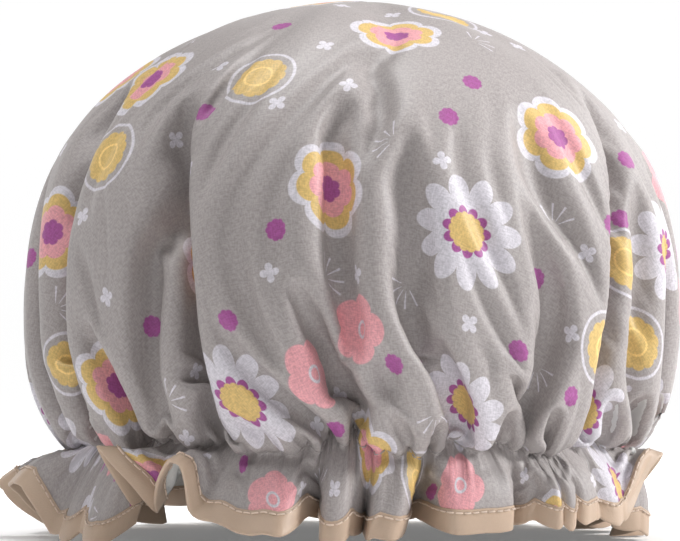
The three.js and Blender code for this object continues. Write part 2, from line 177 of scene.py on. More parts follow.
class CapSizes(bpy.types.PropertyGroup):
    """Sizes of the cap's cloth and trims."""

    crown_radius: number("Crown Radius", "Widest radius of the puffed crown", 0.139)
    crown_height: number("Crown Height", "From the gather line up to the top", 0.193)
    widest_height: number("Widest Height", "Height of the widest place above the gather line", 0.050)
    top_roundness: number("Top Roundness", "Exponent of the crown line's radius; less is more pointed", 1.7, "NONE")
    side_fullness: number("Side Fullness", "Exponent of the crown line's height; more is fuller", 2.8, "NONE")
    gather_radius: number("Gather Radius", "Radius of the outer cloth at the gather line", 0.119)
    ruffle_length: number("Ruffle Length", "From the gather line to the hem", 0.036)
    pleat_depth: number("Pleat Depth", "Depth of the small pleats at the gather line", 0.0036)
    tape_width: number("Tape Width", "Visible width of the hem binding", 0.010)
    stitch_pitch: number("Stitch Pitch", "From one stitch to the next", 0.004)
    thread_diameter: number("Thread Diameter", "Thickness of the sewing thread", 0.0007)
    elastic_width: number("Elastic Width", "Width of the elastic band", 0.006)


class CapColours(bpy.types.PropertyGroup):
    """Colours of the cap's finishes."""

    ground: paint("Ground", "Grey of the satin", 0.380, 0.345, 0.338)
    white: paint("Print White", "White of the print", 0.64, 0.61, 0.66)
    pink: paint("Print Pink", "Pink of the print", 0.75, 0.35, 0.38)
    gold: paint("Print Gold", "Gold of the print", 0.66, 0.46, 0.17)
    violet: paint("Print Violet", "Violet of the print", 0.36, 0.09, 0.29)
    tape: paint("Tape", "Beige of the hem binding", 0.52, 0.385, 0.285)
    # The film's grey stands for its white in shade: painted shade, so that it reads dark where it shows inside the
    # ruffle's loops.
    film: paint("Film", "White of the waterproof film", 0.60, 0.595, 0.585)


class CapStage(bpy.types.PropertyGroup):
    """Camera and light."""

    distance: number("Camera Distance", "From the cap's axis to the camera", 1.1)
    eye_height: number("Eye Height", "Height of the camera above the floor", 0.062)
    focal_pixels: number("Focal Length", "Focal length in pixels of the picture", 2563.0, "NONE")
    key: number("Key Light", "Power of the light at the right", 27.0, "POWER")
    rim: number("Rim Light", "Power of the light behind at the right", 6.0, "POWER")
    top: number("Top Light", "Power of the light overhead", 14.0, "POWER")
    front: number("Front Light", "Power of the light above the front", 1.5, "POWER")
    fill: number("Fill Light", "Power of the light at the upper left", 7.5, "POWER")
    backdrop: number("Backdrop Light", "Power of the light on the backdrop", 24.0, "POWER")
    sky: number("Room Light", "Strength of the even light from all sides", 0.02, "NONE")


# ------------------------------------------------------------------------------------------------ cloth shape

def smooth(x):
    """Rises from 0 to 1 as x does, level at both ends: 3x^2 - 2x^3."""
    x = np.clip(x, 0.0, 1.0)
    return x * x * (3 - 2 * x)


def unit(v):
    """Vectors made 1 long."""
    return v / np.linalg.norm(v, axis=-1, keepdims=True)


def between(grid, row, column):
    """A grid's values at broken rows and columns, blended from the four around; its last column meets its first."""
    rows, columns = grid.shape[:2]
    r0, c0 = np.clip(np.floor(row).astype(int), 0, rows - 2), np.floor(column).astype(int) % columns
    r1, c1 = r0 + 1, (c0 + 1) % columns
    fr, fc = (row - r0)[..., None], (column - np.floor(column))[..., None]
    return ((grid[r0, c0] * (1 - fc) + grid[r0, c1] * fc) * (1 - fr)
            + (grid[r1, c0] * (1 - fc) + grid[r1, c1] * fc) * fr)


def curve_through(x, xs, ys):
    """A smooth curve through knots: cubic pieces whose slope at a knot is that of its two neighbours' chord."""
    xs, ys = np.asarray(xs, float), np.asarray(ys, float)
    slope = np.gradient(ys, xs)
    x = np.clip(x, xs[0], xs[-1])
    i = np.clip(np.searchsorted(xs, x, side="right") - 1, 0, len(xs) - 2)
    h = xs[i + 1] - xs[i]
    u = (x - xs[i]) / h
    return ((1 + 2 * u) * (1 - u) ** 2 * ys[i] + u * (1 - u) ** 2 * h * slope[i]
            + u * u * (3 - 2 * u) * ys[i + 1] - u * u * (1 - u) * h * slope[i + 1])


def back_folds():
    """Folds for the back, one above each valley of the ruffle, whose depth, top and skew change in turn."""
    folds = []
    for i, azimuth in enumerate(f[0] for f in FLUTES if 100 < f[0] % 360 < 270):
        depth = 11 + 4 * math.sin(1.7 * i + 0.6)
        top = 0.52 + 0.10 * math.sin(2.9 * i)
        drift = 4 * math.sin(1.3 * i)
        left, right = ((11, 4.5), (5, 9), (6, 6))[i % 3]
        folds.append((left, right, (
            (top - 0.08, azimuth + drift, 0), (top + 0.06, azimuth + drift * 0.8, depth * 0.55),
            (top + 0.2, azimuth + drift * 0.4, depth), (0.88, azimuth, depth * 0.7), (1, azimuth, 4))))
    return folds


def ripple(azimuth, place, seed, low, high, count):
    """Sum of sine waves round and down the cap, with wave numbers between low and high."""
    total = np.zeros(np.broadcast(azimuth, place).shape)
    for i in range(count):
        share = (i + 0.5) / count
        around = round(low + (high - low) * share)  # whole waves, so that they close round the cap
        down = TAU * (0.3 + 1.9 * ((i * 0.618 + seed * 0.37) % 1.0))
        phase = TAU * ((i * 0.414 + seed * 0.73) % 1.0)
        total = total + np.sin(around * azimuth + (-1) ** i * down * place + phase)
    return total / math.sqrt(count)


class Drape:
    """The outer cloth as a grid of points in mm about the middle of the gather ring.

    Rows are circles of the flat disc at their distance from its middle, and columns are its radii. Each row is
    laid along its fold line at even lengths, so that cloth runs into the folds as it does in the real cap.
    """

    def __init__(self, sizes):
        self.sizes = sizes
        mm = {k: getattr(sizes, k) / MM for k in ("crown_radius", "crown_height", "widest_height",
                                                  "gather_radius", "ruffle_length", "pleat_depth")}
        self.mm = mm
        t = np.linspace(0, 1, 4001)
        r, z = self.profile(t)
        length = np.concatenate(([0], np.cumsum(np.hypot(np.diff(r), np.diff(z)))))
        self.t_table, self.s_table = t, length
        self.gather = length[-1]
        self.hem = self.gather + mm["ruffle_length"]
        self.floor_drop = RING[2] / MM - TAPE_ROOM
        self.folds = FRONT_FOLDS + tuple(back_folds())
        closer = self.gather - 46  # from here down the rows lie closer together
        top = np.linspace(2.0, closer, 62)
        low = np.linspace(closer, self.gather, 34)[1:]
        skirt = np.linspace(self.gather, self.hem, 28)[1:]
        self.s = np.concatenate((top, low, skirt))
        self.theta = np.arange(COLUMNS) * TAU / COLUMNS
        self.points = self.lay()
        self.points = self.settle()
        self.down, self.normals = self.directions()

    def profile(self, t):
        """Ridge line: a superellipse from the top to the widest place, then an arc that tucks in to the gather."""
        mm = self.mm
        up = np.clip(t / WIDEST, 0, 1) * math.pi / 2
        rise = np.maximum(np.cos(up), 0) ** (2 / self.sizes.side_fullness)
        r = mm["crown_radius"] * np.sin(up) ** (2 / self.sizes.top_roundness)
        z = mm["widest_height"] + (mm["crown_height"] - mm["widest_height"]) * rise
        down = np.clip((t - WIDEST) / (1 - WIDEST), 0, 1) * TUCK
        r = r - (mm["crown_radius"] - mm["gather_radius"]) * (1 - np.cos(down)) / (1 - math.cos(TUCK))
        z = np.where(t > WIDEST, mm["widest_height"] * (1 - np.sin(down) / math.sin(TUCK)), z)
        return r, z

    def outward(self, t):
        """The ridge line's normal as its radial and its upward part, from a short step to both sides."""
        (ra, za), (rb, zb) = self.profile(np.minimum(t + 0.002, 1)), self.profile(np.maximum(t - 0.002, 0))
        run = np.hypot(ra - rb, za - zb) + 1e-9
        return -(za - zb) / run, (ra - rb) / run

    def fold_field(self, azimuth, t, r):
        """Depth of the folds, and how far their steep flank's lip laps over the valley.

        Across a fold the depth is a bell curve with a different width on each side; the lip is a second bell
        curve on the steep side.
        """
        depth = np.zeros(np.broadcast(azimuth, t).shape)
        shift = np.zeros_like(depth)
        for left, right, knots in self.folds:
            places, angles, depths = zip(*knots)
            deep = FOLD_GAIN * np.maximum(curve_through(t, places, depths), 0) * (t >= places[0])
            middle = np.radians(curve_through(t, places, angles))
            x = ((azimuth - middle + math.pi) % TAU - math.pi) * r
            depth += deep * np.exp(-(x / np.where(x < 0, left, right)) ** 2)
            steep = min(left, right)
            side = -1 if left < right else 1
            if left != right:
                lip = np.exp(-((x * side - 1.7 * steep) / (1.2 * steep)) ** 2)
                shift -= side * LIP * deep * lip
        return depth, shift

    def pleats(self, azimuth, away, spread):
        """Pleats of the gather: rounded ridges with sharp valleys, fine at the seam and merging further away.

        Each kind is a power of a sine's size, |sin|, with a wandering pitch, that grows and fades with the distance
        from the seam.
        """
        total = 0.0
        for count, wander, near, far, size in PLEATS:
            strays = np.sin(6 * azimuth + count) + 0.7 * np.sin(11 * azimuth + 2 * count)
            phase = count / 2 * azimuth + wander * strays
            wave = 2 * np.abs(np.sin(phase)) ** 0.7 - 1.35
            grow = np.exp(-away / (far * spread)) - (np.exp(-away / (near * spread)) if near else 0)
            swell = 0.8 + 0.35 * np.sin(5 * azimuth + count) * np.sin(3 * azimuth + 0.5 * count)
            total = total + size * wave * grow * swell
        bearing = np.degrees((azimuth + math.pi) % TAU - math.pi)
        return total * curve_through(bearing, *zip(*GATHERED))

    def hem_line(self, azimuth):
        """Where the hem lies below each azimuth of the gather, in mm out, down and to the right, and how round it is.

        It goes from a flute's left valley to its ridge and on to the next valley in straight lines, cut off level
        for a flat front and rounded by a quarter of a sine wave unless the flute is pointed.
        """
        table = np.array(FLUTES, float)
        edges = np.radians(np.append(table[:, 0], table[0, 0] + 360))
        turned = (azimuth - edges[0]) % TAU + edges[0]
        i = np.clip(np.searchsorted(edges, turned, side="right") - 1, 0, len(FLUTES) - 1)
        v = (turned - edges[i]) / (edges[i + 1] - edges[i])
        front = table[i, 7]
        round_ = np.clip((front - 1) / 0.4, 0, 1)
        rise = np.minimum((1 - np.abs(2 * v - 1)) * front, 1)
        wave = rise + round_ * (np.sin(math.pi / 2 * rise) - rise)
        valley = table[i, 1:4] * (1 - v)[..., None] + table[(i + 1) % len(FLUTES), 1:4] * v[..., None]
        hem = valley + (table[i, 4:7] - valley) * wave[..., None]
        return hem[..., 0], hem[..., 1], hem[..., 2], round_ * wave

    def place(self, azimuth, s):
        """Points of the cloth as it is laid out.

        The crown is the ridge line moved inwards along its normal by folds, ripples, pleats and the seam's groove.
        The ruffle goes on from the gather to the hem line, and puffs out where that is nearer than the cloth is
        long.
        """
        mm = self.mm
        t = np.interp(s, self.s_table, self.t_table)
        r, z = self.profile(t)
        out_r, out_z = self.outward(t)
        above = np.maximum(self.gather - s, 0)
        below = np.maximum(s - self.gather, 0)
        fade = np.exp(-below / FOLD_END)
        free = 1 - np.exp(-above / 16) * np.exp(-below / 9)
        folds, shift = self.fold_field(azimuth, t, np.maximum(r, TOP_RADIUS))
        broad = 1.4 * ripple(azimuth, t, 1, 3, 17, 9) * smooth(t / 0.5)
        small = 0.45 * ripple(azimuth, 3 * t, 2, 21, 61, 11) * smooth((t - 0.25) / 0.6)
        pleat = np.where(s < self.gather, self.pleats(azimuth, above, 1.0), self.pleats(azimuth, below, 1.25))
        groove = GROOVE_DEPTH * np.exp(-((s - self.gather) / GROOVE_WIDTH) ** 2)
        depth = folds * fade + (broad + small) * free - mm["pleat_depth"] * pleat + groove
        r = r - out_r * depth
        z = z - out_z * depth
        q = np.clip(below / mm["ruffle_length"], 0, 1)
        out, drop, sway, round_ = self.hem_line(azimuth)
        reach = np.hypot(out, drop)
        puff = PUFF * np.sqrt(np.maximum(mm["ruffle_length"] ** 2 - reach ** 2, 0)) * round_ * np.sin(math.pi * q)
        r = r + q * out + puff * drop / reach
        z = z - q * drop + puff * out / reach
        turn = azimuth + sway / SWAY_RADIUS * q ** 1.2 + shift / np.maximum(r, TOP_RADIUS) * fade
        return np.stack(np.broadcast_arrays(r * np.sin(turn), -r * np.cos(turn), z), axis=-1)

    def lay(self):
        """Evens out each row's columns by length, and evens the shift from row to row.

        In the ruffle each flute keeps the columns that its valleys have at the gather.
        """
        fine = np.linspace(-math.pi, math.pi, 4 * COLUMNS + 1)
        rough = self.place(fine[None, :], self.s[:, None])
        step = np.linalg.norm(np.diff(rough, axis=1), axis=2)
        share = np.concatenate((np.zeros((len(self.s), 1)), np.cumsum(step, axis=1)), axis=1)
        share /= share[:, -1:]
        width = 9
        weight = np.exp(-0.5 * (np.arange(-2 * width, 2 * width + 1) / width) ** 2)
        weight /= weight.sum()
        padded = np.pad(share, ((2 * width, 2 * width), (0, 0)), mode="edge")
        share = sum(w * padded[k:k + len(self.s)] for k, w in enumerate(weight))
        valleys = np.sort((np.radians([f[0] for f in FLUTES]) + math.pi) % TAU - math.pi)
        kept = np.interp(valleys, fine, share[np.argmin(np.abs(self.s - self.gather))])
        for row in np.flatnonzero(self.s > self.gather):
            own = np.interp(valleys, fine, share[row])
            share[row] = np.interp(share[row], (0, *own, 1), (0, *kept, 1))
        wanted = np.arange(COLUMNS) / COLUMNS
        azimuth = np.array([np.interp(wanted, row, fine) for row in share])
        return self.place(azimuth, self.s[:, None])

    def settle(self):
        """Lets the cloth find its length: first every other row and column, then all of them."""
        laid, coarse = self.points, self.points[::2, ::2]
        moved = relax(coarse, self.s[::2], self.gather, 260, 0.012, self.keep_in) - coarse
        row, column = np.meshgrid(np.arange(len(self.s)) / 2, np.arange(COLUMNS) / 2, indexing="ij")
        start = laid + between(moved, np.minimum(row, len(moved) - 1), column)
        return relax(start, self.s, self.gather, 90, 0.02, self.keep_in)

    def keep_in(self, x, s):
        """Moves points back that are over 1 mm outside the ridge line, under the floor or in the elastic's room."""
        t = np.interp(s, self.s_table, self.t_table)
        r0, z0 = self.profile(t)
        out_r, out_z = self.outward(t)
        r = np.hypot(x[..., 0], x[..., 1])
        past = (r - r0) * out_r + (x[..., 2] - z0) * out_z - 1.0
        past = np.maximum(past, 0) * (s <= self.gather)
        pull = 1 - past * out_r / np.maximum(r, 1)
        x = np.stack((x[..., 0] * pull, x[..., 1] * pull, x[..., 2] - past * out_z), axis=-1)
        x[..., 2] = np.maximum(x[..., 2], -self.floor_drop)
        beside = (np.abs(x[..., 2]) < 5) & (np.abs(s - self.gather) < 16)
        r = np.hypot(x[..., 0], x[..., 1])
        push = np.where(beside & (r < ELASTIC_ROOM), ELASTIC_ROOM / np.maximum(r, 1), 1.0)
        x[..., :2] *= push[..., None]
        return x

    def directions(self):
        """Steps down the cloth, and outward normals: the step down crossed with the step round."""
        down = np.gradient(self.points, self.s, axis=0)
        round_ = np.roll(self.points, -1, axis=1) - np.roll(self.points, 1, axis=1)
        return unit(down), unit(np.cross(down, round_))

    def at(self, theta, s, out=0.0):
        """Points at angles and distances of the flat disc, moved off the cloth by out mm along its normal.

        Past the hem they go straight on.
        """
        theta, s, out = np.broadcast_arrays(np.asarray(theta, float), np.asarray(s, float), np.asarray(out, float))
        column = (theta / TAU % 1.0) * COLUMNS
        row = np.interp(s, self.s, np.arange(len(self.s)))
        past = np.maximum(s - self.s[-1], 0)[..., None]
        return (between(self.points, row, column) + out[..., None] * between(self.normals, row, column)
                + past * between(self.down, row, column))


def part(x, least):
    """Keeps the columns of each row in order round the cap, so that no pleat turns inside out.

    Neighbours stay at least that many mm apart along the circle, and nearer together by the top.
    """
    ahead = np.roll(x, -1, axis=1)
    middle = (x + ahead)[..., :2]
    along = np.stack((-middle[..., 1], middle[..., 0]), axis=-1)
    along /= np.linalg.norm(along, axis=2, keepdims=True) + 1e-9
    gap = np.sum((ahead - x)[..., :2] * along, axis=2)
    least = least * np.minimum(np.linalg.norm(middle, axis=2) / 200, 1)
    push = 0.5 * np.maximum(least - gap, 0)[..., None] * along
    x = x.copy()
    x[..., :2] += np.roll(push, 1, axis=1) - push
    return x


def relax(laid, s, gather, rounds, pull, keep_in):
    """Cloth by positions: each round moves points so that the threads regain their lengths.

    In the crown a step down the grid is as long as on the flat disc, a step round it takes up a share of the cloth
    that the laid row leaves over, and a slanting step follows from both. In the ruffle they are as long as they
    were laid. Steps over two or four columns, or over two rows, resist bending. Every point is drawn weakly back to
    where it was laid, and keeps some of its last move. The top and the seam are held.
    """
    columns = laid.shape[1]
    s = np.asarray(s)[:, None]

    def laid_length(down, turn):
        """Lengths of the laid steps over that many rows and columns."""
        return np.linalg.norm(np.roll(laid[down:], -turn, axis=1) - laid[:len(laid) - down], axis=2)

    spare = np.interp(s, (0.0, gather - 90, gather, gather + 12, s[-1, 0]), (0.06, 0.14, 0.36, 0.1, 0.0))
    length = laid_length(0, 1).sum(axis=1, keepdims=True)
    around = (length + spare * (TAU * s - length)) / columns
    fall = np.diff(s, axis=0)
    slant = np.hypot((around[1:] + around[:-1]) / 2, fall)
    # Each kind of step: rows down, columns round, its length in the crown and its stiffness.
    steps = ((0, 1, around, 1.0), (1, 0, fall, 1.0), (1, 1, slant, 0.5), (1, -1, slant, 0.5),
             (0, 2, 2 * around, 0.3), (0, 4, 4 * around, 0.16))
    steps = [(down, turn, np.where(s[down:] > gather, laid_length(down, turn), crown), stiff)
             for down, turn, crown, stiff in steps]
    steps.append((2, 0, s[2:] - s[:-2], 0.35))
    hold = np.clip(1 - (s - 20) / 30, 0, 1)
    hold = np.maximum(hold, np.exp(-((s - gather) / 5.0) ** 2) * 0.6)
    pull = np.interp(s, (gather, gather + 10, s[-1, 0]), (pull, 0.05, 0.1))
    weight = (pull + (1 - pull) * hold)[..., None]
    swing, stride, least_gap = 0.88, 0.42, 110.0 / columns
    x, last = laid.copy(), laid.copy()
    for _ in range(rounds):
        x, last = x + swing * (x - last), x
        for _ in range(2):
            move = np.zeros_like(x)
            for down, turn, rest, stiff in steps:
                d = np.roll(x[down:], -turn, axis=1) - x[:len(x) - down]
                push = stiff * 0.5 * (1 - rest / (np.linalg.norm(d, axis=2) + 1e-9))[..., None] * d
                move[:len(x) - down] += push
                move[down:] -= np.roll(push, turn, axis=1)
            x = part(x + stride * move, least_gap)
        x = keep_in(x + weight * (laid - x), s)
    return x


_made = {}


def drape():
    """The one cloth grid that all pieces share."""
    if "drape" not in _made:
        _made["drape"] = Drape(bpy.context.scene.cap_sizes)
    return _made["drape"]


# ------------------------------------------------------------------------------------------------ meshes

def ring_quads(rows, columns):
    """Quads of a grid of rows and columns, joined round its columns."""
    r, c = np.meshgrid(np.arange(rows - 1), np.arange(columns), indexing="ij")
    n = (c + 1) % columns
    return np.stack((r * columns + c, (r + 1) * columns + c, (r + 1) * columns + n, r * columns + n),
                    axis=-1).reshape(-1, 4)


def add_piece(name, points, faces, uv, finish, node):
    """Makes the mesh from points in mm about the gather ring, and hangs it on the frame in a node's place."""
    points = np.asarray(points, float).reshape(-1, 3) * MM + RING
    mesh = bpy.data.meshes.new(name)
    mesh.from_pydata(points.tolist(), [], [list(map(int, f)) for f in faces])
    layer = mesh.uv_layers.new(name="cloth")
    index = np.empty(len(mesh.loops), np.int32)
    mesh.loops.foreach_get("vertex_index", index)
    layer.data.foreach_set("uv", np.asarray(uv, np.float32).reshape(-1, 2)[index].ravel())
    mesh.polygons.foreach_set("use_smooth", np.ones(len(mesh.polygons), bool))
    mesh.materials.append(finish)
    mesh.update()
    piece = bpy.data.objects.new(name, mesh)
    bpy.context.scene.collection.objects.link(piece)
    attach(piece, "root")
    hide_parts(node)
    return piece


def disc_uv(theta, s):
    """Place in the flat disc in metres: polar coordinates made square ones."""
    return np.stack(np.broadcast_arrays(s * np.sin(theta), -s * np.cos(theta)), axis=-1) * MM


def cloth_sheet(name, out, tuck, hem_trim, finish, node):
    """A layer of cloth at out mm from the drape and tucked in further in the crown, with a fan that closes its top."""
    cloth = drape()
    s = np.unique(np.minimum(np.append(cloth.s, cloth.hem - hem_trim), cloth.hem - hem_trim))
    theta = cloth.theta
    points = cloth.at(theta[None, :], s[:, None], out)
    radius = np.maximum(np.hypot(points[..., 0], points[..., 1]), TOP_RADIUS)
    points[..., :2] *= (1 - tuck * smooth((cloth.gather - s[:, None]) / 8) / radius)[..., None]
    rows, columns = points.shape[:2]
    apex = points[0].mean(axis=0)
    flat = np.concatenate((points.reshape(-1, 3), apex[None]))
    uv = np.concatenate((disc_uv(theta[None, :], s[:, None]).reshape(-1, 2), [[0, 0]]))
    c = np.arange(columns)
    fan = np.stack((np.full(columns, rows * columns), c, (c + 1) % columns), axis=-1)
    faces = ring_quads(rows, columns).tolist() + fan.tolist()
    return add_piece(name, flat, faces, uv, finish, node)


def tubes(paths, away, thick, sides, tip, run):
    """Round tubes along paths, each closed at both ends by a point that stands out by tip.

    A ring lies across the path at each of its points, has its own radius thick, and starts from the side that is
    square to the path and to the direction away. run is the way along the path in the finish.
    """
    count, rings = paths.shape[:2]
    body = rings * sides
    tangent = unit(np.gradient(paths, axis=1))
    side = unit(np.cross(tangent, away))
    up = np.cross(side, tangent)
    turn = np.arange(sides) * TAU / sides
    ring = (paths[:, :, None] + thick[None, :, None, None]
            * (np.cos(turn)[:, None] * side[:, :, None] + np.sin(turn)[:, None] * up[:, :, None]))
    ends = np.stack((paths[:, 0] - tangent[:, 0] * tip, paths[:, -1] + tangent[:, -1] * tip), axis=1)
    points = np.concatenate((ring.reshape(count, body, 3), ends), axis=1)
    c = np.arange(sides)
    n = (c + 1) % sides
    first = np.stack((np.full(sides, body), n, c), axis=-1)
    last = np.stack((np.full(sides, body + 1), body - sides + c, body - sides + n), axis=-1)
    base = np.arange(count)[:, None, None] * (body + 2)
    quads = np.roll(ring_quads(rings, sides)[:, ::-1], 1, axis=1) + base
    tips = np.concatenate((first, last)) + base
    uv = np.stack((np.append(np.repeat(run, sides), (run[0], run[-1])),
                   np.append(np.tile(turn, rings), (0, 0)) / TAU), axis=-1)
    faces = quads.reshape(-1, 4).tolist() + tips.reshape(-1, 3).tolist()
    return points, faces, np.broadcast_to(uv[None], (count, body + 2, 2))


def stitches(theta, s, half, out, lift, radius):
    """Short stitches of thread: each dips into the cloth at both ends and arches between them.

    theta are the stitches' middles and half their half angle.
    """
    cloth = drape()
    along = np.array([-1.0, -0.8, 0.0, 0.8, 1.0])
    height = np.array([-0.5, 0.45, 1.0, 0.45, -0.5]) * lift
    thick = np.array([0.45, 0.95, 1.0, 0.95, 0.45]) * radius
    angle = theta[:, None] + half * along[None, :]
    middle = cloth.at(angle, s, out + np.sign(out) * height[None, :])
    away = cloth.at(angle, s, out + 1.0) - cloth.at(angle, s, out)
    return tubes(middle, away, thick, 6, radius * 0.3, along * half)


def cord(path, radius):
    """One tube along a path round the cap's axis."""
    run = np.concatenate(([0], np.cumsum(np.linalg.norm(np.diff(path, axis=0), axis=1)))) * MM
    return tubes(path[None], (path * (1, 1, 0))[None], np.full(len(path), radius), 8, radius * 0.5, run)


# ------------------------------------------------------------------------------------------------ finishes

def ahead_of(operation):
    """A method that puts the wire before the other value."""
    return lambda wire, other: wire.finish.math(operation, wire, other)


def behind(operation):
    """A method that puts the wire after the other value."""
    return lambda wire, other: wire.finish.math(operation, other, wire)


class Wire:
    """One value in a shader; arithmetic on it adds Math nodes."""

    def __init__(self, finish, socket):
        self.finish, self.socket = finish, socket

    __add__, __radd__ = ahead_of("ADD"), behind("ADD")
    __sub__, __rsub__ = ahead_of("SUBTRACT"), behind("SUBTRACT")
    __mul__, __rmul__ = ahead_of("MULTIPLY"), behind("MULTIPLY")
    __truediv__, __rtruediv__ = ahead_of("DIVIDE"), behind("DIVIDE")
    __pow__, __rpow__ = ahead_of("POWER"), behind("POWER")
    __gt__, __lt__ = ahead_of("GREATER_THAN"), ahead_of("LESS_THAN")

    def __abs__(self):
        return self.finish.math("ABSOLUTE", self)


def tinted(colour, times, plus=0.0):
    """A colour made lighter or darker."""
    return [min(c * times + plus, 1) for c in colour]


class Finish:
    """A material under construction."""

    def __init__(self, name, **shader):
        self.material = bpy.data.materials.new(name)
        self.material.use_nodes = True
        self.tree = self.material.node_tree
        self.tree.nodes.clear()
        self.shader = self.node("ShaderNodeBsdfPrincipled", {}, shader)
        output = self.tree.nodes.new("ShaderNodeOutputMaterial")
        self.tree.links.new(self.shader.outputs[0], output.inputs["Surface"])

    def node(self, kind, settings, inputs):
        """Adds a node, sets it up and fills its sockets with values or links."""
        node = self.tree.nodes.new(kind)
        for key, value in settings.items():
            setattr(node, key, value)
        self.feed(node, inputs)
        return node

    def feed(self, node, inputs):
        """Fills a node's sockets with values or links."""
        for key, value in inputs.items():
            if isinstance(value, Wire):
                self.tree.links.new(value.socket, node.inputs[key])
            else:
                node.inputs[key].default_value = value

    def wire(self, kind, settings, inputs, output=0):
        """Adds a node and gives one of its outputs."""
        return Wire(self, self.node(kind, settings, inputs).outputs[output])

    def math(self, operation, *values):
        return self.wire("ShaderNodeMath", {"operation": operation}, dict(enumerate(values)))

    def vector(self, operation, a, b=None, scale=None, output=0):
        inputs = {0: a}
        if b is not None:
            inputs[1] = b
        if scale is not None:
            inputs["Scale"] = scale
        return self.wire("ShaderNodeVectorMath", {"operation": operation}, inputs, output)

    def parts(self, vector):
        node = self.node("ShaderNodeSeparateXYZ", {}, {0: vector})
        return [Wire(self, socket) for socket in node.outputs]

    def joined(self, x, y, z=0.0):
        return self.wire("ShaderNodeCombineXYZ", {}, {0: x, 1: y, 2: z})

    def mix(self, share, a, b):
        """Colour a where share is 0 and b where it is 1."""
        full = [c if isinstance(c, Wire) else (*c, 1.0)[:4] for c in (a, b)]
        return self.wire("ShaderNodeMix", {"data_type": "RGBA"}, {0: share, 6: full[0], 7: full[1]}, 2)

    def step(self, value, low, high):
        """0 at low, 1 at high, smooth between them."""
        return self.wire("ShaderNodeMapRange", {"interpolation_type": "SMOOTHSTEP"},
                         {"Value": value, "From Min": low, "From Max": high, "To Min": 0.0, "To Max": 1.0})

    def noise(self, vector, scale, detail):
        return self.wire("ShaderNodeTexNoise", {"noise_dimensions": "3D"},
                         {"Vector": vector, "Scale": scale, "Detail": detail})

    def cloth_mm(self):
        """Place in the flat cloth, in mm."""
        uv = self.wire("ShaderNodeUVMap", {"uv_map": "cloth"}, {})
        return self.vector("SCALE", uv, scale=1 / MM)

    def bump(self, height, distance, strength):
        return self.wire("ShaderNodeBump", {}, {"Height": height, "Distance": distance, "Strength": strength})


class Scatter:
    """Motifs set out over the cloth, one to a cell, each with its own turn and chance."""

    def __init__(self, finish, place, cell, offset):
        self.finish, self.cell, self.offset = finish, cell, offset
        reach, self.middle, chance = self.look_up(place)
        x, y, _ = finish.parts(reach)
        spin, _, self.pick = finish.parts(chance)
        self.radius = finish.math("SQRT", x * x + y * y)
        self.angle = finish.math("ARCTAN2", y, x) + spin * TAU

    def look_up(self, place):
        """Vector in mm from the middle of the nearest motif, that middle, and three random values."""
        f = self.finish
        grid = f.vector("ADD", f.vector("SCALE", place, scale=1 / self.cell), (*self.offset, 0.0))
        node = f.node("ShaderNodeTexVoronoi", {"voronoi_dimensions": "2D", "feature": "F1"},
                      {"Vector": grid, "Scale": 1.0, "Randomness": 0.55})
        middle = Wire(f, node.outputs["Position"])
        reach = f.vector("SCALE", f.vector("SUBTRACT", grid, middle), scale=self.cell)
        back = f.vector("SCALE", f.vector("SUBTRACT", middle, (*self.offset, 0.0)), scale=self.cell)
        return reach, back, Wire(f, node.outputs["Color"])

    def away(self, place):
        """Distance in mm from a place to the nearest middle."""
        return self.finish.vector("LENGTH", self.look_up(place)[0], output=1)

    def petals(self, count, size, cut, soft=0.35):
        """1 inside a flower of that many petals; cut is how deep the gaps between them go."""
        f = self.finish
        wave = abs(f.math("COSINE", self.angle * (count / 2)))
        edge = size * (1 - cut + cut * wave ** 0.6)
        return f.step(self.radius - edge, soft, -soft)

    def ring(self, inner, outer, soft=0.3):
        """1 between two radii."""
        f = self.finish
        return f.step(self.radius, inner - soft, inner + soft) * f.step(self.radius, outer + soft, outer - soft)


